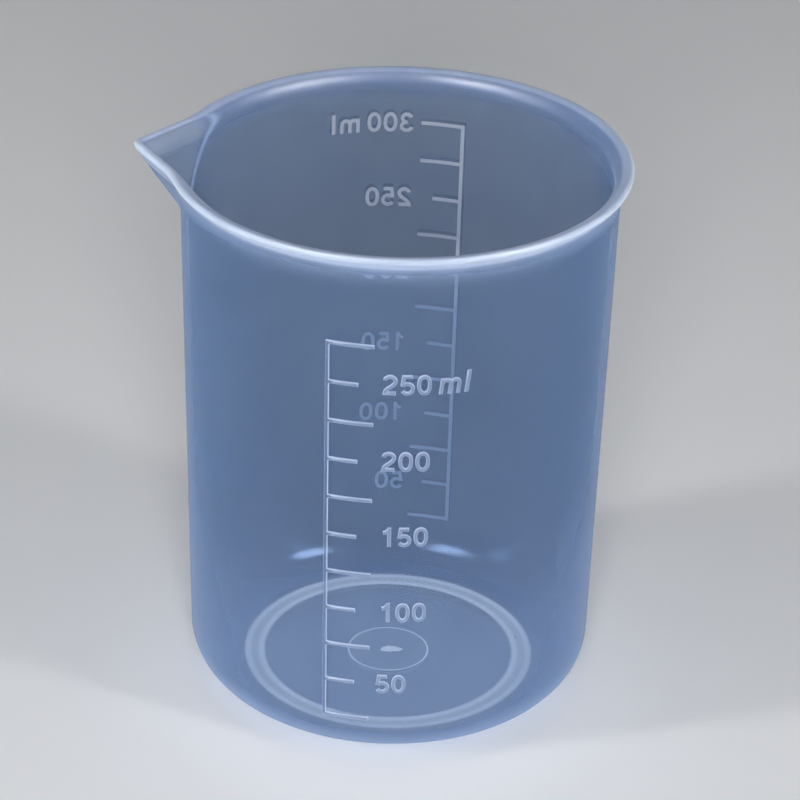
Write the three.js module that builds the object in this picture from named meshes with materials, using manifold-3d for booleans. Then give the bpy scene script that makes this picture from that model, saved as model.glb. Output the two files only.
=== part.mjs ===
// A 300 ml measuring cup: a translucent polypropylene beaker with a rolled lip, a moulded pouring
// spout, a foot ring, and a raised ladder of volume marks on each of two opposite sides.
//
// Millimetres and degrees, +Z up. The origin is on the cup's axis in the plane it stands on, the
// spout points along -X and the front scale faces -Y. Angles round the cup are counted from -Y
// towards +X.

import * as THREE from 'three';
import { mergeVertices } from 'three/addons/utils/BufferGeometryUtils.js';
import Module from 'manifold-3d';

// Vessel
const height = 95.4;
const mouthRadius = 35.85; // outside of the wall, just under the lip
const baseRadius = 34.0; // outside of the wall, carried down to the underside
const wall = 1.15;
const floorThickness = 0.9;
const cornerRadius = 8.6; // outside, between the wall and the underside

// Underside
const footHeight = 0.4;
const footWidth = 2.9;
const footInset = 0.9; // from the end of the corner's curve to the foot ring
const footDraft = 0.2;
const gateRadius = 7.0; // shallow round recess about the moulding gate
const gateDepth = 0.25;
const gateDraft = 0.4;

// Lip
const lipOverhang = 1.95; // beyond the outside of the wall
const lipEdge = 0.6; // radius of the lip's rounded edge
const lipFillet = 2.6; // under the lip, from the wall out to the edge
const mouthRound = 2.4; // inside, from the wall up over the lip

// Spout
const spoutReach = 7.85; // from the outside of the wall to the tip
const spoutHalfAngle = 54.6; // between the spout's centre plane and each top edge, seen from above
const spoutDepth = 12.2; // from the rim down to where the keel leaves the wall
const spoutWall = 1.35;
const tipRadius = 2.2; // seen from above
const tipEdge = 0.8; // height of the tip's blunt front
const troughTipRadius = 0.9;
const troughTipDepth = 0.4;
const keelRadius = 3.6; // across the keel, at the wall
const troughEdgeRound = 0.9; // along the trough's top edges, at the wall
const spoutRoot = 4.9; // how far the spout's solid starts inside the outside of the wall
const tipFlat = 8; // degrees of the tip's curve that are left flat

// Scales
const scaleAngle = -12.4; // of the front spine; the back scale is half a turn further
const markStep = 25; // ml
const frontTopMark = 275; // ml
const backTopMark = 300; // ml
const markWidth = 0.65;
const markHeight = 0.4;
const longMark = 7.5; // from the middle of the spine
const shortMark = 5.05;
const markDraft = 0.12; // by which each side of a mark leans in towards its crest
const markSeat = 0.05; // clearance between the marks and the wall

// Fineness
const turnSteps = 96; // facets round the cup
const arcSteps = 3; // half the facets in each rounded corner of a profile
const tipSteps = 5;
const markFacet = 2.5; // longest facet along a mark
const fillStep = 0.02; // height of the slices that the contents are summed in
const cutMargin = 1; // how far a cutting solid runs past the rim

const cubicMillimetres = 1000; // in one ml
const radians = THREE.MathUtils.degToRad;

const wasm = await Module();
wasm.setup();

// Turns a closed three.js geometry into a solid that can be joined and cut.
function toSolid(geometry) {
  geometry.deleteAttribute('normal');
  geometry.deleteAttribute('uv');
  const merged = mergeVertices(geometry);
  const corners = merged.index.array;
  const triVerts = [];
  for (let i = 0; i < corners.length; i += 3) {
    const [a, b, c] = corners.slice(i, i + 3);
    if (a !== b && b !== c && c !== a) triVerts.push(a, b, c);
  }
  return new wasm.Manifold(
    new wasm.Mesh({
      numProp: 3,
      vertProperties: new Float32Array(merged.attributes.position.array),
      triVerts: new Uint32Array(triVerts),
    }),
  );
}

function toGeometry(solid) {
  const mesh = solid.getMesh();
  const geometry = new THREE.BufferGeometry();
  geometry.setAttribute('position', new THREE.BufferAttribute(new Float32Array(mesh.vertProperties), 3));
  geometry.setIndex(new THREE.BufferAttribute(new Uint32Array(mesh.triVerts), 1));
  geometry.computeVertexNormals();
  return geometry;
}

function revolve(profile) {
  return toSolid(new THREE.LatheGeometry(profile.getPoints(arcSteps), turnSteps).rotateX(Math.PI / 2));
}

// The lip's edge and the fillet under it are two circles that touch each other and the wall.
const lipEdgeCentre = new THREE.Vector2(mouthRadius + lipOverhang - lipEdge, height - lipEdge);
const lipFilletOffset = mouthRadius + lipFillet - lipEdgeCentre.x;
const lipFilletDrop = Math.sqrt((lipFillet + lipEdge) ** 2 - lipFilletOffset ** 2);
const lipFilletCentre = new THREE.Vector2(mouthRadius + lipFillet, lipEdgeCentre.y - lipFilletDrop);
const lipTouchAngle = Math.atan2(lipFilletDrop, -lipFilletOffset);

// The wall's two faces are tapered lines, each rounded into its floor.
const taper = (mouthRadius - baseRadius) / (lipFilletCentre.y - footHeight);

function wallFace(inset, floor, corner) {
  const line = (z) => baseRadius - inset + taper * (z - footHeight);
  const centre = new THREE.Vector2(line(floor + corner) - corner * Math.hypot(1, taper), floor + corner);
  const cornerEnd = -Math.atan(taper);
  const cornerTop = centre.y + corner * Math.sin(cornerEnd);
  const rounded = (z) => centre.x + Math.sqrt(Math.max(corner ** 2 - (centre.y - z) ** 2, 0));
  const radiusAt = (z) => (z > cornerTop ? line(z) : rounded(z));
  const addCorner = (path) => path.absarc(centre.x, centre.y, corner, -Math.PI / 2, cornerEnd, false);
  return { centre, radiusAt, addCorner };
}

const floorTop = footHeight + floorThickness;
const outerFace = wallFace(0, footHeight, cornerRadius);
const innerFace = wallFace(wall, floorTop, cornerRadius - wall);

function outerProfile() {
  const footOuter = outerFace.centre.x - footInset;
  const footInner = footOuter - footWidth;
  const path = new THREE.Path();
  path.moveTo(0, footHeight + gateDepth);
  path.lineTo(gateRadius - gateDraft, footHeight + gateDepth);
  path.lineTo(gateRadius, footHeight);
  path.lineTo(footInner, footHeight);
  path.lineTo(footInner + footDraft, 0);
  path.lineTo(footOuter - footDraft, 0);
  path.lineTo(footOuter, footHeight);
  outerFace.addCorner(path);
  path.absarc(lipFilletCentre.x, lipFilletCentre.y, lipFillet, Math.PI, lipTouchAngle, true);
  path.absarc(lipEdgeCentre.x, lipEdgeCentre.y, lipEdge, lipTouchAngle - Math.PI, Math.PI / 2, false);
  path.lineTo(0, height);
  return path;
}

function cavityProfile() {
  const roundStart = height - mouthRound;
  const roundCentre = innerFace.radiusAt(roundStart) + mouthRound;
  const path = new THREE.Path();
  path.moveTo(0, floorTop);
  path.lineTo(innerFace.centre.x, floorTop);
  innerFace.addCorner(path);
  path.absarc(roundCentre, roundStart, mouthRound, Math.PI, Math.PI / 2, true);
  path.lineTo(roundCentre, height + cutMargin);
  path.lineTo(0, height + cutMargin);
  return path;
}

// A section across the spout: a V with a rounded keel, measured down from the rim. Its top edges
// can be rounded outwards, and its sides carried up past the rim.
function spoutSection(halfWidth, depth, edgeRound, rise) {
  const share = depth / spoutDepth;
  const keel = keelRadius * share;
  const edge = edgeRound * share;
  const keelY = keel - depth;
  const edgeX = halfWidth + edge / 2;
  const side = Math.atan2(-edge - keelY, edgeX) + Math.asin((keel + edge) / Math.hypot(edgeX, edge + keelY));
  const path = new THREE.Path();
  path.moveTo(edgeX, rise);
  path.lineTo(edgeX, 0);
  if (edge > 0) path.absarc(edgeX, -edge, edge, Math.PI / 2, Math.PI / 2 + side, false);
  path.absarc(0, keelY, keel, side - Math.PI / 2, -side - Math.PI / 2, true);
  if (edge > 0) path.absarc(-edgeX, -edge, edge, Math.PI / 2 - side, Math.PI / 2, false);
  path.lineTo(-edgeX, rise);
  return path.getPoints(arcSteps);
}

// Skins a row of sections that stand across the spout, each at its distance from the cup's axis.
function loftSpout(stations) {
  const count = stations[0].section.length;
  const positions = [];
  const index = [];
  for (const { distance, section } of stations) {
    for (const point of section) positions.push(-distance, point.x, height + point.y);
  }
  for (let i = 0; i + 1 < stations.length; i += 1) {
    for (let j = 0; j < count; j += 1) {
      const a = i * count + j;
      const b = i * count + ((j + 1) % count);
      index.push(a, b, b + count, a, b + count, a + count);
    }
  }
  const last = (stations.length - 1) * count;
  for (const [a, b, c] of THREE.ShapeUtils.triangulateShape(stations[0].section, [])) index.push(a, b, c);
  for (const [a, b, c] of THREE.ShapeUtils.triangulateShape(stations.at(-1).section, [])) {
    index.push(last + a, last + c, last + b);
  }
  const geometry = new THREE.BufferGeometry();
  geometry.setAttribute('position', new THREE.Float32BufferAttribute(positions, 3));
  geometry.setIndex(index);
  return toSolid(geometry);
}

// The outline from above, as half-widths along the spout: straight to the tip's curve, then round it.
function spoutOutline(apex, radius) {
  const halfAngle = radians(spoutHalfAngle);
  const centre = apex - radius / Math.sin(halfAngle);
  const root = mouthRadius - spoutRoot;
  const outline = [{ distance: root, halfWidth: (apex - root) * Math.tan(halfAngle) }];
  const start = Math.PI / 2 - halfAngle;
  for (let i = 0; i <= tipSteps; i += 1) {
    const turn = THREE.MathUtils.lerp(start, radians(tipFlat), i / tipSteps);
    outline.push({ distance: centre + radius * Math.cos(turn), halfWidth: radius * Math.sin(turn) });
  }
  return outline;
}

const tipDistance = mouthRadius + spoutReach;
const keelDistance = outerFace.radiusAt(height - spoutDepth);
const keelSlope = (spoutDepth - tipEdge) / (tipDistance - keelDistance);
const spoutApex = tipDistance - tipRadius + tipRadius / Math.sin(radians(spoutHalfAngle));
const troughApex = spoutApex - spoutWall / Math.sin(radians(spoutHalfAngle));

function spoutShell() {
  const stations = spoutOutline(spoutApex, tipRadius).map(({ distance, halfWidth }) => {
    const depth = tipEdge + (tipDistance - distance) * keelSlope;
    return { distance, section: spoutSection(halfWidth, depth, 0, 0) };
  });
  return loftSpout(stations);
}

function spoutTrough() {
  const outline = spoutOutline(troughApex, troughTipRadius);
  const tip = outline.at(-1).distance;
  const depthAtWall = spoutDepth - spoutWall * Math.hypot(1, keelSlope);
  const slope = (depthAtWall - troughTipDepth) / (tip - keelDistance);
  const stations = outline.map(({ distance, halfWidth }) => {
    const depth = troughTipDepth + (tip - distance) * slope;
    return { distance, section: spoutSection(halfWidth, depth, troughEdgeRound, cutMargin) };
  });
  return loftSpout(stations);
}

function cupBody() {
  return revolve(outerProfile()).add(spoutShell()).subtract(revolve(cavityProfile())).subtract(spoutTrough());
}

// The height at which the cup holds a volume, found by filling it slice by slice.
function fillHeight(millilitres) {
  let z = floorTop;
  let missing = millilitres * cubicMillimetres;
  while (missing > 0) {
    missing -= Math.PI * innerFace.radiusAt(z + fillStep / 2) ** 2 * fillStep;
    z += fillStep;
  }
  return z;
}

// The marks are evenly spaced, and true at the lowest one and at the top of the front scale.
const lowestMark = fillHeight(markStep);
const markPitch = (fillHeight(frontTopMark) - lowestMark) / (frontTopMark / markStep - 1);

// A line across a relief, at the foot and at the crest of its sides.
const reliefLine = (foot, lean) => ({ foot, crest: foot + lean });

// Adds lines between the given ones, so that no two are further apart than a facet.
function spacedLines(stops) {
  const { lerp } = THREE.MathUtils;
  const lines = [stops[0]];
  for (let i = 1; i < stops.length; i += 1) {
    const [from, to] = [stops[i - 1], stops[i]];
    const count = Math.ceil((to.foot - from.foot) / markFacet);
    for (let k = 1; k <= count; k += 1) {
      lines.push({ foot: lerp(from.foot, to.foot, k / count), crest: lerp(from.crest, to.crest, k / count) });
    }
  }
  return lines;
}

// Raises some cells of a grid that is bent onto the wall. Along is measured round the wall from the
// given angle, up is a height.
function wallRelief(angle, along, up, isRaised) {
  const layer = along.length * up.length;
  const positions = [];
  for (const [level, lift] of [['foot', markSeat], ['crest', markSeat + markHeight]]) {
    for (const { [level]: z } of up) {
      const face = outerFace.radiusAt(z);
      for (const { [level]: arc } of along) {
        const turn = angle + arc / face;
        positions.push((face + lift) * Math.sin(turn), -(face + lift) * Math.cos(turn), z);
      }
    }
  }
  const raised = (i, j) => {
    const inside = i >= 0 && j >= 0 && i + 1 < along.length && j + 1 < up.length;
    return inside && isRaised((along[i].foot + along[i + 1].foot) / 2, (up[j].foot + up[j + 1].foot) / 2);
  };
  const index = [];
  const addQuad = (a, b, c, d) => index.push(a, b, c, a, c, d);
  for (let j = 0; j + 1 < up.length; j += 1) {
    for (let i = 0; i + 1 < along.length; i += 1) {
      if (!raised(i, j)) continue;
      const a = j * along.length + i;
      const b = a + 1;
      const d = a + along.length;
      const c = d + 1;
      addQuad(a, d, c, b);
      addQuad(a + layer, b + layer, c + layer, d + layer);
      if (!raised(i, j - 1)) addQuad(a, b, b + layer, a + layer);
      if (!raised(i + 1, j)) addQuad(b, c, c + layer, b + layer);
      if (!raised(i, j + 1)) addQuad(c, d, d + layer, c + layer);
      if (!raised(i - 1, j)) addQuad(d, a, a + layer, d + layer);
    }
  }
  const geometry = new THREE.BufferGeometry();
  geometry.setAttribute('position', new THREE.Float32BufferAttribute(positions, 3));
  geometry.setIndex(index);
  return toSolid(geometry);
}

// A ladder of volume marks: a spine with a short mark at each even step, and a long one at each odd
// step and at the top. Marks that would reach the lip are left out.
function scaleLadder(angle, topMark) {
  const half = markWidth / 2;
  const marks = [];
  for (let step = 1; step <= topMark / markStep; step += 1) {
    const z = lowestMark + markPitch * (step - 1);
    if (z + half < lipFilletCentre.y) marks.push({ z, long: step % 2 === 1 });
  }
  marks.at(-1).long = true;
  const ends = [shortMark, longMark].sort((a, b) => a - b);
  const along = [reliefLine(-half, markDraft), ...[half, ...ends].map((arc) => reliefLine(arc, -markDraft))];
  const up = marks.flatMap(({ z }) => [reliefLine(z - half, markDraft), reliefLine(z + half, -markDraft)]);
  const reach = (mark) => (mark.long ? longMark : shortMark);
  const onMark = (arc, z) => marks.some((mark) => Math.abs(z - mark.z) < half && arc < reach(mark));
  const isRaised = (arc, z) => Math.abs(arc) < half || onMark(arc, z);
  return wallRelief(angle, spacedLines(along), spacedLines(up), isRaised);
}

const polypropylene = { color: 0x8ea6c6, roughness: 0.32, metalness: 0, transparent: true, opacity: 0.5 };
const raisedMarks = { color: 0xc3d0e6, roughness: 0.38, metalness: 0, transparent: true, opacity: 0.8 };

function piece(name, solid, look) {
  const mesh = new THREE.Mesh(toGeometry(solid), new THREE.MeshStandardMaterial(look));
  mesh.name = name;
  return mesh;
}

const cup = new THREE.Group();
cup.name = 'measuring_cup';
cup.add(piece('cup_body', cupBody(), polypropylene));
cup.add(piece('front_scale', scaleLadder(radians(scaleAngle), frontTopMark), raisedMarks));
cup.add(piece('back_scale', scaleLadder(radians(scaleAngle + 180), backTopMark), raisedMarks));

export default cup;
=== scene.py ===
"""A 300 ml measuring cup of translucent polypropylene on a pale floor, seen from above its front scale."""

import math

import bpy
import numpy as np
from mathutils import Matrix, Vector


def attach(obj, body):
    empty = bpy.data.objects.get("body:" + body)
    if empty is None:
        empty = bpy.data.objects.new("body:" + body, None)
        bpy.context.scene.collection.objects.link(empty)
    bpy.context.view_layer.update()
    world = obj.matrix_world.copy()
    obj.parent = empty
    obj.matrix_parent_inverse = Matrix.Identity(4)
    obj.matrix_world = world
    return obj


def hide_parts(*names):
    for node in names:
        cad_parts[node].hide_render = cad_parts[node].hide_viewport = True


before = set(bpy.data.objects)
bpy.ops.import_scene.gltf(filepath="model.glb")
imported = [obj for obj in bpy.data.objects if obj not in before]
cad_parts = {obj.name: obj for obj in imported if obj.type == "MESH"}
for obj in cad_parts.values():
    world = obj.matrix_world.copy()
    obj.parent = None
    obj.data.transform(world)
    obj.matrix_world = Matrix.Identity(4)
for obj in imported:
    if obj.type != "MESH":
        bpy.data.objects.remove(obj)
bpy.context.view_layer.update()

MM = 0.001

# Cup, in millimetres, with the same sizes as the solids
HEIGHT = 95.4
MOUTH_RADIUS = 35.85
BASE_RADIUS = 34.0
WALL = 1.15
FLOOR = 0.9
CORNER = 8.6
FOOT_HEIGHT = 0.4
FOOT_INNER = 21.77
FOOT_OUTER = 24.67
GATE_RADIUS = 7.0
GATE_DEPTH = 0.25
LIP_OVERHANG = 1.95
LIP_EDGE = 0.6
LIP_FILLET = 2.6
MOUTH_ROUND = 2.4

# Gate mark. A wave in its outline is a share of its size, a count round it and a phase.
GATE_MARK_LENGTH = 4.0
GATE_MARK_WIDTH = 2.4
GATE_MARK_X = 0.5
GATE_MARK_WAVES = ((0.13, 2, 0.7), (0.10, 3, 2.0), (0.05, 7, 0.0))
GATE_MARK_TEAR = 0.07

# Spout
SPOUT_HALF_ANGLE = math.radians(54.6)
SPOUT_PLANE = 36.03  # distance of the top edges' lines from the axis
SPOUT_SLOPE = 0.574  # by which a side leans in for each millimetre down
SPOUT_TIP_EDGE = 0.8
SPOUT_KEEL = (1.8, 0.12)  # rounding of the keel at the rim, and its growth for each millimetre down
TROUGH_PLANE = 34.68
TROUGH_TIP_DEPTH = 0.4
TROUGH_EDGE = 0.45
TROUGH_KEEL = (0.8, 0.2)
EDGE_EASE = 0.25  # over which an upright edge turns into a leaning side
SPOUT_BLEND = 0.9  # rounding between the spout and the round wall
WIDEST_TURN = 1.45  # radians off a side plane's nearest point, past which its radius grows no more

# Scales
FRONT_ANGLE = math.radians(-12.4)
BACK_ANGLE = FRONT_ANGLE + math.pi
FRONT_STEPS = 11
BACK_STEPS = 12
STEP_VOLUME = 25
LOWEST_MARK = 9.3
MARK_PITCH = 6.99
MARK_WIDTH = 0.65
MARK_HEIGHT = 0.4
LONG_MARK = 7.5
SHORT_MARK = 5.05
MARK_PIECE = 0.8  # length of the pieces that a mark is bent from

# Numerals
DIGIT_HEIGHT = 3.6
STROKE = 0.64
LABEL_LEFT = 8.8
SHORT_LABEL_LEFT = 8.4
UNIT_LEAN = 0.12
UNIT_STRETCH = 1.09  # by which a leaning unit is taller than the digits
# Millimetres for each unit of a sign's width: for its strokes, and for the room that it takes in the line
FRONT_DIGITS = (4.2, 4.47)
BACK_DIGITS = (4.45, 4.78)

# Edges of marks and numerals that turn by more degrees than this are sharp
SHARP_ANGLE = 75
SHARPEST_MITRE = 0.5  # cosine of half the turn, past which a stroke's corner is cut short

# Heights of the rings in the plain wall, and of those near the rim, where the spout needs close ones
WALL_RINGS = np.linspace(12, 79, 16)
RIM_STEP = 0.32
OUTER_RIM_FROM = 80.5
INNER_RIM_TO = 81.0
# Counts of rings round the corners, along the lip's edge and over the mouth's rounding
OUTER_CORNER_RINGS = 18
INNER_CORNER_RINGS = 16
EDGE_RINGS = 4
MOUTH_RINGS = 14

# Degrees round the cup from the spout's keel: closest at the keel, close over the spout, then wider
KEEL_TURNS = np.arange(0, 2.5, 0.2)
SPOUT_TURNS = np.arange(2.5, 25, 0.45)
WALL_TURNS = np.linspace(25, 180, 104, endpoint=False)

TOLERANCE = 0.01  # within which two lengths are taken as equal

# Amount of plastic that light meets, from 0 to 1, with painted highlights and painted shade in places, as
# marked. A ramp is a share and the range over which it comes in.
LIP_RAMPS = ((0.65, 92.4, 93.4), (0.35, 89.0, 93.4))  # by height
SPOUT_EDGE_RANGE = (94.1, 94.6)
MOUTH_RAMPS = ((0.15, 87.5, 93.0),)  # by height
ROUND_RAMPS = ((0.15, 20, 50), (0.7, 50, 66))  # by degrees of turn over the mouth's rounding
TROUGH_BULK = 0.2
TROUGH_EDGE_RANGE = (94.9, 95.3)
SPOUT_FADE = 0.8  # distance over which the spout's amount takes over from the lip's
# Painted highlight: extra amount along the crease where the trough's sides meet the wall, which shows as a
# bright line.
CREASE_PAINTED_HIGHLIGHT = 0.8
CREASE_HIGHLIGHT_REACH = 0.5
LOW_BULK = 0.12
LOW_RANGE = (50, 12)
CORNER_RANGE = (0.2, -1.2)  # radians of turn round the bottom corner
OUTER_CORNER_BULK = 0.13
INNER_CORNER_BULK = 0.15
MIDDLE_BULK = 0.1
# Painted shade: how much fainter the back marks' roots are made, and the heights over which, where the key
# lights them through the mouth.
UPPER_ROOT_PAINTED_SHADE = 0.5
UPPER_ROOT_SHADE_RANGE = (58, 66)

# Heights over which the lip begins to spread light within it
GLOW_RANGE = (91.5, 93.5)


def smooth_max(a, b, blend):
    """The larger of two values, rounded over where they come within blend of each other."""
    near = np.maximum(blend - np.abs(a - b), 0) / blend
    return np.maximum(a, b) + near * near * blend / 4


def smooth_min(a, b, blend):
    return -smooth_max(-a, -b, blend)


def smooth_step(low, high, x):
    t = np.clip((np.asarray(x, float) - low) / (high - low), 0, 1)
    return t * t * (3 - 2 * t)


def add_ramps(ramps, x):
    return sum(share * smooth_step(low, high, x) for share, low, high in ramps)


# Lip circles, as in the solids
edge_x = MOUTH_RADIUS + LIP_OVERHANG - LIP_EDGE
edge_z = HEIGHT - LIP_EDGE
fillet_x = MOUTH_RADIUS + LIP_FILLET
fillet_z = edge_z - math.sqrt((LIP_FILLET + LIP_EDGE) ** 2 - (fillet_x - edge_x) ** 2)
touch_z = fillet_z + (edge_z - fillet_z) * LIP_FILLET / (LIP_FILLET + LIP_EDGE)
TAPER = (MOUTH_RADIUS - BASE_RADIUS) / (fillet_z - FOOT_HEIGHT)


def wall_line(z):
    return BASE_RADIUS + TAPER * (z - FOOT_HEIGHT)


# Bottom corner and floor
corner_z = FOOT_HEIGHT + CORNER
corner_x = wall_line(corner_z) - CORNER * math.hypot(1, TAPER)
inner_corner = CORNER - WALL
floor_top = FOOT_HEIGHT + FLOOR
inner_corner_z = floor_top + inner_corner
inner_corner_x = wall_line(inner_corner_z) - WALL - inner_corner * math.hypot(1, TAPER)
gate_top = FOOT_HEIGHT + GATE_DEPTH

# Radius, height and amount of plastic, from the middle of the underside out past the foot ring. The peaks
# along the gate recess's edge and the foot ring's edges are painted highlight lines, on top of the ring's
# own plastic.
UNDERSIDE_RINGS = (
    (2.5, gate_top, 0.1),
    (5.0, gate_top, 0.1),
    (GATE_RADIUS - 0.55, gate_top, 0.1),
    (GATE_RADIUS - 0.4, gate_top - 0.02, 0.9),
    (GATE_RADIUS - 0.2, gate_top - 0.14, 1.0),
    (GATE_RADIUS - 0.06, FOOT_HEIGHT + 0.02, 0.9),
    (GATE_RADIUS + 0.1, FOOT_HEIGHT, 0.1),
    (8.0, FOOT_HEIGHT, 0.1),
    (15.0, FOOT_HEIGHT, 0.1),
    (FOOT_INNER - 0.35, FOOT_HEIGHT, 0.15),
    (FOOT_INNER - 0.05, FOOT_HEIGHT, 1.0),
    (FOOT_INNER + 0.07, FOOT_HEIGHT - 0.13, 1.0),
    (FOOT_INNER + 0.16, 0.04, 1.0),
    (FOOT_INNER + 0.28, 0.0, 1.0),
    (FOOT_INNER + 0.85, 0.0, 0.75),
    (FOOT_OUTER - 0.85, 0.0, 0.75),
    (FOOT_OUTER - 0.28, 0.0, 1.0),
    (FOOT_OUTER - 0.16, 0.04, 1.0),
    (FOOT_OUTER - 0.07, FOOT_HEIGHT - 0.13, 1.0),
    (FOOT_OUTER + 0.05, FOOT_HEIGHT, 1.0),
    (FOOT_OUTER + 0.3, FOOT_HEIGHT, 0.3),
)
UNDERSIDE_REACH = FOOT_OUTER + 0.1

# Radius and amount of plastic, from outside the foot ring to the middle of the inside floor. Over the foot
# ring the amount is the ring's plastic, and its peaks along the ring's edges and the gate recess's edge are
# painted highlight lines.
FLOOR_RINGS = (
    (FOOT_OUTER + 0.5, 0.1),
    (FOOT_OUTER, 1.0),
    (FOOT_OUTER - 0.6, 1.0),
    (FOOT_OUTER - 0.95, 0.65),
    (FOOT_INNER + 0.95, 0.65),
    (FOOT_INNER + 0.6, 1.0),
    (FOOT_INNER, 1.0),
    (FOOT_INNER - 0.5, 0.08),
    (12.0, 0.08),
    (GATE_RADIUS + 0.08, 0.08),
    (GATE_RADIUS, 0.9),
    (GATE_RADIUS - 0.22, 0.9),
    (GATE_RADIUS - 0.3, 0.14),
    (4.0, 0.14),
)


def outer_base(z):
    """Radius of the outside without the spout, from the top of the corner to the rim."""
    if z <= fillet_z:
        return wall_line(z)
    if z <= touch_z:
        return fillet_x - math.sqrt(LIP_FILLET**2 - (z - fillet_z) ** 2)
    if z <= edge_z:
        return edge_x + math.sqrt(LIP_EDGE**2 - (z - edge_z) ** 2)
    return edge_x + LIP_EDGE


def round_over(z, radius):
    """How far an edge of that radius has turned in at height z, just under the rim."""
    rise = max(z - (HEIGHT - radius), 0)
    return radius - math.sqrt(max(radius**2 - rise**2, 0))


def spout_planes(phi, distance, blend):
    """Radius to the nearer of the spout's two side planes, with a rounded keel. Zero beside the spout."""
    lean = math.pi / 2 - SPOUT_HALF_ANGLE
    near = distance / np.cos(np.abs(phi) - lean)
    far = distance / np.cos(np.minimum(np.abs(phi) + lean, WIDEST_TURN))
    return np.where(np.abs(phi) <= lean, smooth_min(near, far, blend), 0)


def leaning_planes(phi, depth, plane, tip_depth, keel):
    """The side planes at a depth under the rim: upright down to tip_depth, then leaning in."""
    down = depth - tip_depth
    down = (down + math.hypot(down, EDGE_EASE)) / 2
    rounding, growth = keel
    return spout_planes(phi, plane - SPOUT_SLOPE * down, rounding + growth * depth)


def spout_sides(phi, z):
    """Radii of the plain outside and of the spout's sides."""
    return outer_base(z), leaning_planes(phi, HEIGHT - z, SPOUT_PLANE, SPOUT_TIP_EDGE, SPOUT_KEEL)


def outer_radius(phi, z):
    base, planes = spout_sides(phi, z)
    return smooth_max(np.full_like(phi, base), planes, SPOUT_BLEND) - round_over(z, LIP_EDGE)


def trough(phi, z):
    """Radii of the plain inside and of the trough's sides."""
    planes = leaning_planes(phi, HEIGHT - z, TROUGH_PLANE, TROUGH_TIP_DEPTH, TROUGH_KEEL)
    return wall_line(z) - WALL + round_over(z, MOUTH_ROUND), planes + round_over(z, TROUGH_EDGE)


def inner_radius(phi, z):
    base, planes = trough(phi, z)
    return smooth_max(np.full_like(phi, base), planes, SPOUT_BLEND)


def fade(plain, spout, base, planes):
    """An amount that goes from its plain value to the spout's where the spout stands out."""
    return plain + (spout - plain) * np.clip((planes - base) / SPOUT_FADE, 0, 1)


def lip_bulk(phi, z):
    """The lip is thick right down its fillet, the spout only along its edge."""
    return fade(add_ramps(LIP_RAMPS, z), smooth_step(*SPOUT_EDGE_RANGE, z), *spout_sides(phi, z))


def mouth_bulk_and_crease_highlight(phi, z):
    """Thick over the lip, a little thicker along the trough, with a painted highlight along the crease
    where its sides meet the wall.
    """
    base, planes = trough(phi, z)
    rise = min(max(z - (HEIGHT - MOUTH_ROUND), 0) / MOUTH_ROUND, 1)
    turn = math.degrees(math.asin(rise))
    mouth = add_ramps(MOUTH_RAMPS, z) + add_ramps(ROUND_RAMPS, turn)
    edge = TROUGH_BULK + (1 - TROUGH_BULK) * smooth_step(*TROUGH_EDGE_RANGE, z)
    crease_highlight = CREASE_PAINTED_HIGHLIGHT * np.clip(1 - np.abs(planes - base) / CREASE_HIGHLIGHT_REACH, 0, 1)
    return np.maximum(fade(mouth, edge, base, planes), crease_highlight)


def low_bulk(z):
    """The wall is a little milkier towards the bottom."""
    return LOW_BULK * float(smooth_step(*LOW_RANGE, z))


def spout_angles():
    """Angles all round the cup, in radians from the spout's keel."""
    half = np.concatenate([KEEL_TURNS, SPOUT_TURNS, WALL_TURNS])
    return np.radians(np.concatenate([half, [180], -half[:0:-1]]))


def cup_stations(phi):
    """Rings from the middle of the underside, up the outside, over the lip and down to the floor."""
    rings = []

    def round_ring(radius, z, bulk):
        rings.append((np.full_like(phi, radius), z, bulk))

    for radius, z, bulk in UNDERSIDE_RINGS:
        round_ring(radius, z, bulk)
    for turn in np.linspace(-math.pi / 2, -math.atan(TAPER), OUTER_CORNER_RINGS):
        bulk = LOW_BULK + OUTER_CORNER_BULK * float(smooth_step(*CORNER_RANGE, turn))
        round_ring(corner_x + CORNER * math.cos(turn), corner_z + CORNER * math.sin(turn), bulk)
    for z in WALL_RINGS:
        rings.append((outer_radius(phi, z), z, low_bulk(z)))
    to_lip = np.arange(OUTER_RIM_FROM, touch_z, RIM_STEP)
    for z in np.concatenate([to_lip, np.linspace(touch_z, edge_z, EDGE_RINGS)]):
        rings.append((outer_radius(phi, z), z, lip_bulk(phi, z)))
    for turn in np.radians([15, 30, 45, 60, 75, 90]):
        z = edge_z + LIP_EDGE * math.sin(turn)
        rings.append((outer_radius(phi, z), z, 1.0))
    rim_out = outer_radius(phi, HEIGHT)
    rim_in = inner_radius(phi, HEIGHT)
    for share in (0.33, 0.67):
        rings.append((rim_out + (rim_in - rim_out) * share, HEIGHT, 1.0))
    inside_from = len(rings)
    for turn in np.linspace(math.pi / 2, 0, MOUTH_RINGS):
        z = HEIGHT - MOUTH_ROUND + MOUTH_ROUND * math.sin(turn)
        rings.append((inner_radius(phi, z), z, mouth_bulk_and_crease_highlight(phi, z)))
    under_rim = np.arange(HEIGHT - MOUTH_ROUND - 0.3, INNER_RIM_TO, -RIM_STEP)
    for z in np.concatenate([under_rim, WALL_RINGS[::-1]]):
        rings.append((inner_radius(phi, z), z, mouth_bulk_and_crease_highlight(phi, z)))
    for turn in np.linspace(-math.atan(TAPER), -math.pi / 2, INNER_CORNER_RINGS):
        radius = inner_corner_x + inner_corner * math.cos(turn)
        bulk = INNER_CORNER_BULK * float(smooth_step(*CORNER_RANGE, turn))
        round_ring(radius, inner_corner_z + inner_corner * math.sin(turn), bulk)
    for radius, bulk in FLOOR_RINGS:
        round_ring(radius, floor_top, bulk)
    return rings, inside_from


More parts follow.
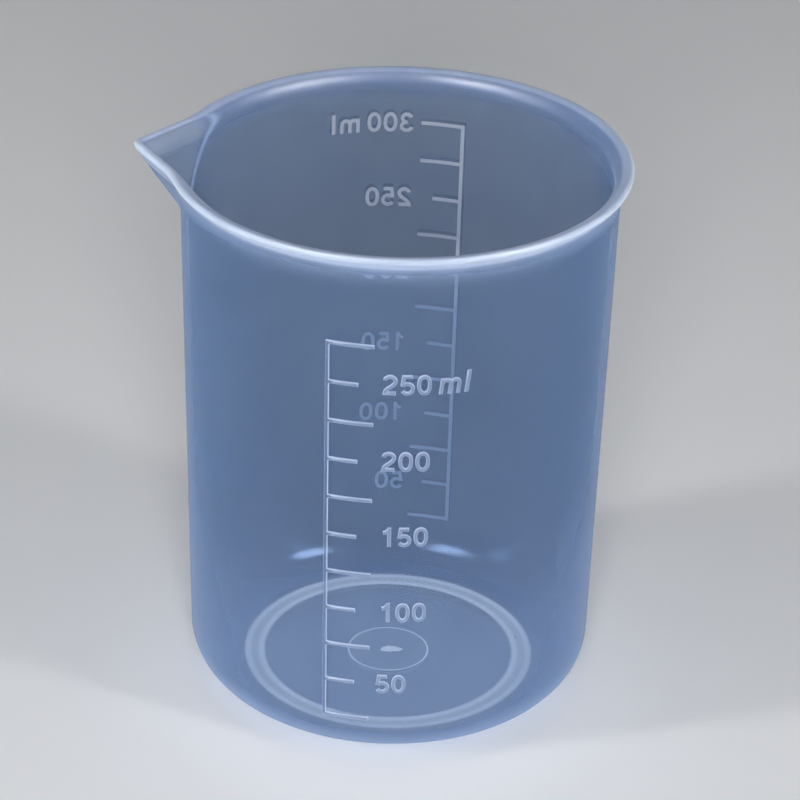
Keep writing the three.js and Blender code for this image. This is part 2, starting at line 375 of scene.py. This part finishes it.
def add_piece(name, points, faces, material, smooth_angle=None):
    """A mesh piece from points in millimetres, riding on the cup."""
    mesh = bpy.data.meshes.new(name)
    mesh.from_pydata([tuple(p) for p in np.asarray(points, float) * MM], [], faces)
    mesh.validate()
    mesh.polygons.foreach_set("use_smooth", [True] * len(mesh.polygons))
    if smooth_angle is not None:
        mesh.set_sharp_from_angle(angle=math.radians(smooth_angle))
    piece = bpy.data.objects.new(name, mesh)
    bpy.context.scene.collection.objects.link(piece)
    mesh.materials.append(material)
    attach(piece, "root")
    return piece


def set_amounts(piece, name, amounts):
    """Values at the points: bulk is the plastic that light meets, with painted highlights and shade in
    places, glow how far light spreads in it.
    """
    layer = piece.data.attributes.new(name, "FLOAT", "POINT")
    layer.data.foreach_set("value", amounts)


def build_cup(outside, inside, floor, underside):
    """One closed skin, with a material for each of its four surfaces."""
    phi = spout_angles()
    count = len(phi)
    stations, inside_from = cup_stations(phi)
    points = [(0, 0, gate_top)]
    bulk = [MIDDLE_BULK]
    for radius, z, amount in stations:
        points += list(zip(-radius * np.cos(phi), -radius * np.sin(phi), np.full(count, z)))
        bulk += list(np.broadcast_to(amount, count))
    points.append((0, 0, floor_top))
    bulk.append(MIDDLE_BULK)
    faces = []
    last = len(points) - 1
    for j in range(count):
        k = (j + 1) % count
        faces.append((0, 1 + j, 1 + k))
        for i in range(len(stations) - 1):
            a = 1 + i * count
            faces.append((a + j, a + count + j, a + count + k, a + k))
        top = 1 + (len(stations) - 1) * count
        faces.append((top + j, last, top + k))
    piece = add_piece("cup", points, faces, outside)
    for other in (inside, floor, underside):
        piece.data.materials.append(other)
    first_inside = 1 + inside_from * count
    skins = []
    for face in piece.data.polygons:
        skin = int(min(face.vertices) >= first_inside)
        if skin and face.center.z < (floor_top + TOLERANCE) * MM:
            skin = 2
        elif not skin and math.hypot(face.center.x, face.center.y) < UNDERSIDE_REACH * MM:
            skin = 3
        skins.append(skin)
    piece.data.polygons.foreach_set("material_index", skins)
    set_amounts(piece, "bulk", bulk)
    set_amounts(piece, "glow", [float(smooth_step(*GLOW_RANGE, z)) for _, _, z in points])
    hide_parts("cup_body")


def build_gate_mark(material):
    """What is left of the sprue: a small torn lump in the recess that shows on both sides of the floor."""
    turns = np.linspace(0, 2 * math.pi, 40, endpoint=False)
    outline = 1 + sum(share * np.sin(waves * turns + phase) for share, waves, phase in GATE_MARK_WAVES)
    levels = (
        (0.5, floor_top + 0.12),
        (0.85, floor_top + 0.05),
        (1.0, gate_top),
        (1.05, gate_top - 0.12),
        (0.85, gate_top - 0.36),
        (0.4, gate_top - 0.44),
    )
    points = []
    for share, z in levels:
        for turn, reach in zip(turns, outline):
            x = GATE_MARK_X + GATE_MARK_LENGTH / 2 * reach * share * math.cos(turn)
            y = GATE_MARK_WIDTH / 2 * reach * share * math.sin(turn)
            torn = GATE_MARK_TEAR * math.sin(3 * turn + 1) * share if z < gate_top - 0.2 else 0.0
            points.append((x, y, z + torn))
    count = len(turns)
    faces = [tuple(range(count)), tuple(len(points) - 1 - k for k in range(count))]
    for i in range(len(levels) - 1):
        for j in range(count):
            a = i * count + j
            b = i * count + (j + 1) % count
            faces.append((a, a + count, b + count, b))
    piece = add_piece("gate_mark", points, faces, material)
    set_amounts(piece, "bulk", [1.0] * len(points))


def on_wall(angle, along, z, lift):
    """A point on the outside of the wall: along is an arc from the given angle, seen from outside."""
    face = wall_line(z)
    turn = angle + along / face
    return ((face + lift) * math.sin(turn), -(face + lift) * math.cos(turn), z)


# Height above the wall, lean of the side and amount of plastic, from the foot of a mark to its crest. The
# amount is full on the sides and nil on the crest, which paints a highlight along each edge where the share
# is full.
LEVELS = ((0.0, 0.0, 1.0), (0.2, 0.03, 1.0), (0.33, 0.07, 0.8), (MARK_HEIGHT, 0.14, 0.0))
# Depth and amount of plastic at the root, least amount in a tick or numeral, which shows as a filled
# stroke, and share of the amounts in LEVELS. The front marks end in the skin. The back ones are seen
# from inside the cup, so their plastic is at the inner skin and the rest of them is clear.
SKIN = 0.06
FRONT_ROOT = (-SKIN, 0.0, 0.3, 1.0)
BACK_ROOT = (-WALL - 0.01, 1.0, 0.0, 0.0)


def mark_levels(root):
    """Levels of a mark from its root to its crest, and its least amount of plastic."""
    depth, root_bulk, fill, share = root
    levels = [(depth, 0.0, root_bulk)]
    if depth < -SKIN:
        levels += [(depth + SKIN, 0.0, 0.0), (-SKIN, 0.0, 0.0)]
    levels += [(lift, inset, amount * share) for lift, inset, amount in LEVELS]
    return levels, fill


def mark_bulk_with_painted_shade(amount, lift, z):
    """The roots of the back marks are painted fainter above the heights where the key reaches them through
    the mouth: painted shade.
    """
    if lift >= -SKIN:
        return amount
    return amount * (1 - UPPER_ROOT_PAINTED_SHADE * float(smooth_step(*UPPER_ROOT_SHADE_RANGE, z)))


def mark_height(millilitres):
    return LOWEST_MARK + MARK_PITCH * (millilitres / STEP_VOLUME - 1)


def build_ladder(name, node, angle, steps, root, material):
    """A spine with a mark at each step, with leaning sides and softened crests."""
    levels, fill = mark_levels(root)
    half = MARK_WIDTH / 2
    marks = []
    for step in range(1, steps + 1):
        reach = LONG_MARK if step % 2 or step == steps else SHORT_MARK
        marks.append((mark_height(step * STEP_VOLUME), reach))
    along = [(-half, 1), (half, -1)]
    for stop, previous in ((SHORT_MARK, half), (LONG_MARK, SHORT_MARK)):
        pieces = max(1, round((stop - previous) / MARK_PIECE))
        along += [(previous + (stop - previous) * k / pieces, 0) for k in range(1, pieces)]
        along.append((stop, -1))
    up = []
    for z, _ in marks:
        up += [(z - half, 1), (z + half, -1)]
    points = []
    bulk = []
    for lift, inset, amount in levels:
        for z, z_lean in up:
            for across, across_lean in along:
                points.append(on_wall(angle, across + across_lean * inset, z + z_lean * inset, lift))
                bulk.append(mark_bulk_with_painted_shade(max(amount, fill) if across > half else amount, lift, z))
    wide = len(along)
    layer = wide * len(up)

    def raised(i, j):
        if not (0 <= i < wide - 1 and 0 <= j < len(up) - 1):
            return False
        return i == 0 or (j % 2 == 0 and along[i + 1][0] <= marks[j // 2][1] + TOLERANCE)

    faces = []
    top = layer * (len(levels) - 1)
    for j in range(len(up) - 1):
        for i in range(wide - 1):
            if not raised(i, j):
                continue
            corners = [j * wide + i, j * wide + i + 1, (j + 1) * wide + i + 1, (j + 1) * wide + i]
            faces.append(tuple(reversed(corners)))
            faces.append(tuple(c + top for c in corners))
            beside = [(i, j - 1), (i + 1, j), (i, j + 1), (i - 1, j)]
            for side in range(4):
                if raised(*beside[side]):
                    continue
                a = corners[side]
                b = corners[(side + 1) % 4]
                for level in range(len(levels) - 1):
                    low = layer * level
                    high = low + layer
                    faces.append((a + low, b + low, b + high, a + high))
    used = sorted({c for face in faces for c in face})
    place = {c: k for k, c in enumerate(used)}
    faces = [tuple(place[c] for c in face) for face in faces]
    piece = add_piece(name, [points[c] for c in used], faces, material, SHARP_ANGLE)
    set_amounts(piece, "bulk", [bulk[c] for c in used])
    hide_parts(node)


def arc(cx, cy, rx, ry, start, end, steps=14, power=2.0):
    """Points along an ellipse, or a squarer curve with a higher power. Degrees."""
    path = []
    for t in np.radians(np.linspace(start, end, steps)):
        c, s = math.cos(t), math.sin(t)
        x = cx + rx * math.copysign(abs(c) ** (2 / power), c)
        y = cy + ry * math.copysign(abs(s) ** (2 / power), s)
        path.append((x, y))
    return path


# Width of each sign and its strokes, on a height of 1: points along the middle of a stroke
GLYPHS = {
    "0": (0.6, [("ring", arc(0.3, 0.5, 0.205, 0.41, 0, 360, 41, 2.25))]),
    "1": (
        0.6,
        [
            ("line", [(0.37, 0), (0.37, 1.0)]),
            ("line", [(0.13, 0.71), (0.22, 0.73), (0.29, 0.79), (0.33, 0.88)]),
        ],
    ),
    "2": (
        0.6,
        [
            (
                "line",
                arc(0.3, 0.685, 0.2, 0.225, 168, -12, 18)
                + [(0.455, 0.55), (0.36, 0.44), (0.2, 0.3), (0.125, 0.2), (0.1, 0.092), (0.52, 0.092)],
            )
        ],
    ),
    "3": (
        0.6,
        [
            ("line", arc(0.29, 0.71, 0.185, 0.2, 165, -78, 16)),
            ("line", arc(0.295, 0.295, 0.205, 0.21, 98, -168, 18)),
        ],
    ),
    "5": (
        0.6,
        [
            (
                "line",
                [(0.495, 0.908), (0.17, 0.908), (0.125, 0.53)] + arc(0.3, 0.33, 0.21, 0.24, 128, -148, 22),
            )
        ],
    ),
    "m": (
        0.93,
        [
            ("line", [(0.1, 0), (0.1, 0.72)]),
            ("line", arc(0.265, 0.44, 0.165, 0.195, 165, 0, 12) + [(0.43, 0)]),
            ("line", arc(0.595, 0.44, 0.165, 0.195, 165, 0, 12) + [(0.76, 0)]),
        ],
    ),
    "l": (0.22, [("line", [(0.1, 0), (0.1, 1.0)])]),
    " ": (0.2, []),
    "_": (0.17, []),  # a thin space
}


def stroke_mesh(path, closed, root, place):
    """A raised stroke along a path, with leaning sides: place puts (x, y, lift) onto the wall."""
    path = np.asarray(path, float)
    if closed:
        path = path[:-1]
    count = len(path)
    sides = []
    for i in range(count):
        before = path[i] - path[i - 1] if (closed or i > 0) else path[1] - path[0]
        after = path[(i + 1) % count] - path[i] if (closed or i < count - 1) else before
        before = before / np.linalg.norm(before)
        after = after / np.linalg.norm(after)
        middle = before + after
        middle = middle / np.linalg.norm(middle)
        normal = np.array([-middle[1], middle[0]])
        stretch = 1 / max(float(np.dot(normal, [-after[1], after[0]])), SHARPEST_MITRE)
        sides.append((normal * stretch, middle))
    levels, fill = mark_levels(root)
    half = STROKE / 2
    section = []
    for lift, inset, amount in levels:
        section.append((-half + inset, lift, max(amount, fill)))
    for lift, inset, amount in reversed(levels):
        section.append((half - inset, lift, max(amount, fill)))
    rows = len(section)
    points = []
    bulk = []
    for i, (normal, middle) in enumerate(sides):
        for across, lift, amount in section:
            inset = half - abs(across)
            pull = 0.0
            if not closed and i == 0:
                pull = inset
            if not closed and i == count - 1:
                pull = -inset
            x, y = path[i] + normal * across + middle * pull
            points.append(place(x, y, lift))
            bulk.append(mark_bulk_with_painted_shade(amount, lift, points[-1][2]))
    faces = []
    for i in range(count if closed else count - 1):
        n = (i + 1) % count
        for j in range(rows):
            k = (j + 1) % rows
            faces.append((i * rows + j, i * rows + k, n * rows + k, n * rows + j))
    if not closed:
        faces.append(tuple(reversed(range(rows))))
        faces.append(tuple((count - 1) * rows + j for j in range(rows)))
    return points, faces, bulk


def build_labels(name, angle, labels, digits, root, material):
    """Raised numerals. A label is its text, its left end as an arc from the spine, its middle height,
    and the lean of its unit."""
    wide, step = digits
    points = []
    faces = []
    bulk = []
    for text, left, middle, lean in labels:
        x = left
        for sign in text:
            advance, strokes = GLYPHS[sign]
            slant = lean if sign in "ml" else 0.0
            tall = DIGIT_HEIGHT * (UNIT_STRETCH if slant else 1.0)
            for kind, path in strokes:
                path = [(u * wide, v * tall) for u, v in path]

                def place(u, v, lift, x=x, slant=slant, middle=middle):
                    return on_wall(angle, x + u + slant * v, middle - DIGIT_HEIGHT / 2 + v, lift)

                more_points, more_faces, more_bulk = stroke_mesh(path, kind == "ring", root, place)
                faces += [tuple(c + len(points) for c in face) for face in more_faces]
                points += more_points
                bulk += more_bulk
            x += advance * step
    piece = add_piece(name, points, faces, material, SHARP_ANGLE)
    set_amounts(piece, "bulk", bulk)


def new_material(name):
    material = bpy.data.materials.new(name)
    material.use_nodes = True
    material.node_tree.nodes.clear()
    return material, material.node_tree


def add_node(tree, kind, inputs, **settings):
    """A node with its settings. Each input, by name or number, is a value or another node's socket."""
    node = tree.nodes.new(kind)
    for key, value in settings.items():
        setattr(node, key, value)
    for key, value in inputs.items():
        if isinstance(value, bpy.types.NodeSocket):
            tree.links.new(value, node.inputs[key])
        else:
            node.inputs[key].default_value = value
    return node


def add_math(tree, operation, *values, clamp=False):
    inputs = dict(enumerate(values))
    return add_node(tree, "ShaderNodeMath", inputs, operation=operation, use_clamp=clamp).outputs[0]


def add_colour_mix(tree, factor, first, second):
    inputs = {0: factor, 6: (*first, 1), 7: (*second, 1)}
    return add_node(tree, "ShaderNodeMix", inputs, data_type="RGBA").outputs[2]


def add_shader_mix(tree, factor, first, second):
    return add_node(tree, "ShaderNodeMixShader", {"Fac": factor, 1: first, 2: second}).outputs["Shader"]


# Clouds, upright flow streaks and specks in the plastic, as counts for each metre
CLOUD_SCALE = 55
STREAK_SCALE = (150, 150, 14)
SPECK_SCALE = 170
# Haze that they add, and about what it comes to on average, which is taken off again
CLOUD_HAZE = 0.10
STREAK_HAZE = 0.02
SPECK_HAZE = 0.7
MEAN_HAZE = 0.06
SPECK_LIMIT = 0.86  # cells with a lighter shade than this have a speck
SPECK_EDGE = (0.045, 0.025)  # how far from its middle a speck begins and is full, in widths of a cell
GRAZING = 1.06  # above 1, so that the path of a look along the skin isn't endless
PALENESS = 0.6  # power of the amount of plastic by which the colour turns pale
# Share of the scattered light that goes on through, in thin and in thick plastic
THIN_THROUGH = 0.35
THICK_THROUGH = 0.10
# Gloss seen straight on, what a slant adds to it, and the power of the slant
GLOSS_FACING = 0.04
GLOSS_SLANT = 0.4
GLOSS_POWER = 5
GLOSS_ROUGHNESS = (0.12, 0.26)  # from clear to cloudy plastic
LIP_ROUGHNESS = 0.28  # added on the lip
GLOW_DEPTH = 0.0035  # metres that light spreads in the lip


def plastic(name, body, thick, haze, thick_haze, tint):
    """Translucent polypropylene: what isn't scattered passes through, and thick plastic scatters more.
    body and thick are the colours of thin and thick plastic, tint that of the light that passes."""
    material, tree = new_material(name)
    place = tree.nodes.new("ShaderNodeTexCoord").outputs["Object"]
    bulk = add_node(tree, "ShaderNodeAttribute", {}, attribute_name="bulk").outputs["Fac"]
    glow = add_node(tree, "ShaderNodeAttribute", {}, attribute_name="glow").outputs["Fac"]

    cloud_inputs = {"Vector": place, "Scale": CLOUD_SCALE, "Detail": 3}
    cloud = add_node(tree, "ShaderNodeTexNoise", cloud_inputs).outputs["Fac"]
    drawn = add_node(tree, "ShaderNodeMapping", {"Vector": place, "Scale": STREAK_SCALE})
    streak_inputs = {"Vector": drawn.outputs["Vector"], "Scale": 1, "Detail": 2}
    streak = add_node(tree, "ShaderNodeTexNoise", streak_inputs).outputs["Fac"]
    cells = add_node(tree, "ShaderNodeTexVoronoi", {"Vector": place, "Scale": SPECK_SCALE})
    begins, full = SPECK_EDGE
    speck_inputs = {"Value": cells.outputs["Distance"], "From Min": begins, "From Max": full}
    speck = add_node(tree, "ShaderNodeMapRange", speck_inputs).outputs["Result"]
    chosen = add_math(tree, "GREATER_THAN", cells.outputs["Color"], SPECK_LIMIT)
    specks = add_math(tree, "MULTIPLY", speck, chosen)

    milky = add_math(tree, "MULTIPLY_ADD", cloud, CLOUD_HAZE, haze - MEAN_HAZE)
    milky = add_math(tree, "MULTIPLY_ADD", streak, STREAK_HAZE, milky)
    milky = add_math(tree, "MULTIPLY_ADD", specks, SPECK_HAZE, milky)
    milky = add_math(tree, "MULTIPLY_ADD", bulk, thick_haze - haze, milky)

    # A slanting look passes through more plastic
    facing = add_node(tree, "ShaderNodeLayerWeight", {"Blend": 0.5}).outputs["Facing"]
    across = add_math(tree, "SUBTRACT", GRAZING, facing)
    clear = add_math(tree, "SUBTRACT", 1, milky, clamp=True)
    passed = add_math(tree, "POWER", clear, add_math(tree, "DIVIDE", 1, across))

    colour = add_colour_mix(tree, add_math(tree, "POWER", bulk, PALENESS), body, thick)
    bump_inputs = {"Strength": 0.02, "Distance": 0.0002, "Height": streak}
    bump = add_node(tree, "ShaderNodeBump", bump_inputs).outputs["Normal"]
    smoothest, roughest = GLOSS_ROUGHNESS
    rough_inputs = {"Value": cloud, "To Min": smoothest, "To Max": roughest}
    rough = add_node(tree, "ShaderNodeMapRange", rough_inputs).outputs["Result"]
    rough = add_math(tree, "MULTIPLY_ADD", glow, LIP_ROUGHNESS, rough)

    shell_inputs = {
        "Base Color": colour,
        "Roughness": rough,
        "Normal": bump,
        "IOR": 1.49,
        "Specular IOR Level": 0.0,
        "Subsurface Weight": glow,
        "Subsurface Radius": (1, 1, 1),
        "Subsurface Scale": GLOW_DEPTH,
    }
    shell = add_node(tree, "ShaderNodeBsdfPrincipled", shell_inputs).outputs["BSDF"]
    through = add_node(tree, "ShaderNodeBsdfTranslucent", {"Color": colour}).outputs["BSDF"]
    share = add_math(tree, "MULTIPLY_ADD", bulk, THICK_THROUGH - THIN_THROUGH, THIN_THROUGH)
    milk = add_shader_mix(tree, share, shell, through)
    see = add_node(tree, "ShaderNodeBsdfTransparent", {"Color": (*tint, 1)}).outputs["BSDF"]
    mix = add_shader_mix(tree, passed, milk, see)

    # The skin's gloss, stronger at a slant, alike on both sides of the wall
    slant = add_math(tree, "POWER", facing, GLOSS_POWER)
    mirror = add_math(tree, "MULTIPLY_ADD", slant, GLOSS_SLANT, GLOSS_FACING)
    gloss_inputs = {"Roughness": rough, "Normal": bump}
    gloss = add_node(tree, "ShaderNodeBsdfAnisotropic", gloss_inputs).outputs["BSDF"]
    skin = add_shader_mix(tree, mirror, mix, gloss)
    add_node(tree, "ShaderNodeOutputMaterial", {"Surface": skin})
    return material


# Stage, in metres
STAGE_RADIUS = 3
STAGE_SIDES = 64
STAGE_DROP = 0.00005  # below the foot ring, so that the two faces don't coincide


def floor_material():
    material, tree = new_material("pale_floor")
    noise = add_node(tree, "ShaderNodeTexNoise", {"Scale": 6}).outputs["Fac"]
    colour = add_colour_mix(tree, noise, (0.86, 0.87, 0.89), (0.89, 0.90, 0.92))
    surface_inputs = {"Base Color": colour, "Roughness": 0.85, "Specular IOR Level": 0.2}
    surface = add_node(tree, "ShaderNodeBsdfPrincipled", surface_inputs).outputs["BSDF"]
    add_node(tree, "ShaderNodeOutputMaterial", {"Surface": surface})
    return material


def build_floor():
    mesh = bpy.data.meshes.new("floor")
    turns = np.linspace(0, 2 * math.pi, STAGE_SIDES, endpoint=False)
    rim = [(STAGE_RADIUS * math.cos(t), STAGE_RADIUS * math.sin(t), -STAGE_DROP) for t in turns]
    mesh.from_pydata(rim, [], [tuple(range(STAGE_SIDES))])
    floor = bpy.data.objects.new("floor", mesh)
    bpy.context.scene.collection.objects.link(floor)
    mesh.materials.append(floor_material())


# Lamps, in metres and watts
LAMP_TARGET = Vector((0, 0, 0.04))
SPOT_HEIGHT = 0.9


def add_lamp(name, place, size, power, lights=True, shines=True, beam=180):
    """A soft box aimed at the cup, with a beam in degrees. It lights surfaces, shines in gloss, or both."""
    lamp = bpy.data.lights.new(name, "AREA")
    lamp.shape = "RECTANGLE"
    lamp.size, lamp.size_y = size
    lamp.energy = power
    lamp.spread = math.radians(beam)
    holder = bpy.data.objects.new(name, lamp)
    bpy.context.scene.collection.objects.link(holder)
    holder.location = place
    aim = LAMP_TARGET - Vector(place)
    holder.rotation_euler = aim.to_track_quat("-Z", "Y").to_euler()
    holder.visible_diffuse = lights
    holder.visible_glossy = shines


def add_spot(name, reach, power):
    """A spot straight above the cup's floor that lights it out to a radius."""
    lamp = bpy.data.lights.new(name, "SPOT")
    lamp.energy = power
    lamp.spot_size = 2 * math.atan(reach / SPOT_HEIGHT)
    lamp.spot_blend = 0.2
    lamp.shadow_soft_size = 0.01
    holder = bpy.data.objects.new(name, lamp)
    bpy.context.scene.collection.objects.link(holder)
    holder.location = (0, 0, SPOT_HEIGHT)
    holder.visible_glossy = False


def set_light():
    world = bpy.data.worlds.new("studio")
    world.use_nodes = True
    background = world.node_tree.nodes["Background"]
    background.inputs["Color"].default_value = (0.93, 0.96, 1.0, 1)
    background.inputs["Strength"].default_value = 0.09
    bpy.context.scene.world = world
    add_lamp("key", (0.10, -1.14, 0.60), (0.4, 0.4), 3.55, shines=False, beam=100)
    add_spot("floor_spot", reach=0.029, power=34.0)
    strip = (0.12, 0.5)
    add_lamp("left_strip", (-0.9, -0.42, 0.26), strip, 5.5)
    add_lamp("right_strip", (0.9, -0.42, 0.26), strip, 4.5)
    box = (0.28, 0.36)
    add_lamp("left_box", (-0.44, -0.56, 0.76), box, 30.0, lights=False)
    add_lamp("right_box", (0.65, -0.29, 0.76), box, 30.0, lights=False)


# Camera, as fitted to the photograph
EYE = Vector((46.84, -525.35, 337.18)) * MM
TARGET = Vector((0.877, 0.077, 50.69)) * MM
ROLL = math.radians(1.6)
LENS = 160.9
SENSOR = 36


def set_camera():
    scene = bpy.context.scene
    camera = bpy.data.cameras.new("camera")
    camera.sensor_width = SENSOR
    camera.lens = LENS
    camera.clip_end = 20
    holder = bpy.data.objects.new("camera", camera)
    scene.collection.objects.link(holder)
    forward = (TARGET - EYE).normalized()
    right = forward.cross(Vector((0, 0, 1))).normalized()
    up = right.cross(forward)
    tilted_right = right * math.cos(ROLL) + up * math.sin(ROLL)
    tilted_up = up * math.cos(ROLL) - right * math.sin(ROLL)
    turn = Matrix((tilted_right, tilted_up, -forward)).transposed()
    holder.matrix_world = Matrix.Translation(EYE) @ turn.to_4x4()
    scene.camera = holder


set_camera()
set_light()
build_floor()

# Colours and haze that several surfaces share
BLUE = (0.17, 0.31, 0.57)
GREY = (0.30, 0.37, 0.48)
MARK_BLUE = (0.36, 0.47, 0.68)
# Painted light: the thick plastic of the cup's floor and underside is a whiter copy of the wall's, so that
# the foot ring and gate show bright.
BOTTOM_PAINTED_WHITE = (0.95, 0.92, 0.89)
PALE_TINT = (0.92, 0.95, 0.98)
OUTER_HAZE = 0.20
INNER_HAZE = 0.09
THICK_HAZE = 0.95
THICK_MARK_HAZE = 0.9

outer_skin = plastic("cup_plastic", BLUE, (0.44, 0.53, 0.73), OUTER_HAZE, THICK_HAZE, PALE_TINT)
inner_skin = plastic("cup_inside", BLUE, (0.38, 0.47, 0.67), INNER_HAZE, THICK_HAZE, (0.46, 0.53, 0.64))
floor_skin = plastic("cup_floor", GREY, BOTTOM_PAINTED_WHITE, INNER_HAZE, THICK_HAZE, (0.48, 0.54, 0.63))
underside = plastic("cup_underside", GREY, BOTTOM_PAINTED_WHITE, OUTER_HAZE, THICK_HAZE, PALE_TINT)
front_plastic = plastic(
    "front_mark_plastic", MARK_BLUE, (0.45, 0.53, 0.68), OUTER_HAZE, THICK_MARK_HAZE, (0.90, 0.93, 0.97)
)
# Painted light: the back marks' plastic is a much whiter copy of the front marks', so that they show bright
# through the walls.
back_mark_lit_copy = plastic(
    "back_mark_lit_plastic", MARK_BLUE, (0.85, 0.84, 0.86), 0.02, THICK_MARK_HAZE, (0.97, 0.98, 0.99)
)

build_cup(outer_skin, inner_skin, floor_skin, underside)
build_gate_mark(floor_skin)
build_ladder("front_marks", "front_scale", FRONT_ANGLE, FRONT_STEPS, FRONT_ROOT, front_plastic)
build_ladder("back_marks", "back_scale", BACK_ANGLE, BACK_STEPS, BACK_ROOT, back_mark_lit_copy)

# The front numerals sit a little above their marks from 150 ml up
front_labels = (
    ("200", LABEL_LEFT, mark_height(200) + 0.45, 0.0),
    ("150", LABEL_LEFT, mark_height(150) + 0.4, 0.0),
    ("100", LABEL_LEFT, mark_height(100), 0.0),
    ("50", SHORT_LABEL_LEFT, mark_height(50), 0.0),
    ("250_ml", LABEL_LEFT, mark_height(250) + 0.4, UNIT_LEAN),
)
back_labels = (
    ("250", LABEL_LEFT, mark_height(250), 0.0),
    ("200", LABEL_LEFT, mark_height(200), 0.0),
    ("150", LABEL_LEFT, mark_height(150), 0.0),
    ("100", LABEL_LEFT, mark_height(100), 0.0),
    ("50", SHORT_LABEL_LEFT, mark_height(50), 0.0),
    ("300 ml", LABEL_LEFT, mark_height(300), 0.0),
)
build_labels("front_numerals", FRONT_ANGLE, front_labels, FRONT_DIGITS, FRONT_ROOT, front_plastic)
build_labels("back_numerals", BACK_ANGLE, back_labels, BACK_DIGITS, BACK_ROOT, back_mark_lit_copy)

bpy.context.scene.view_settings.view_transform = "Standard"
bpy.context.scene.cycles.transparent_max_bounces = 32
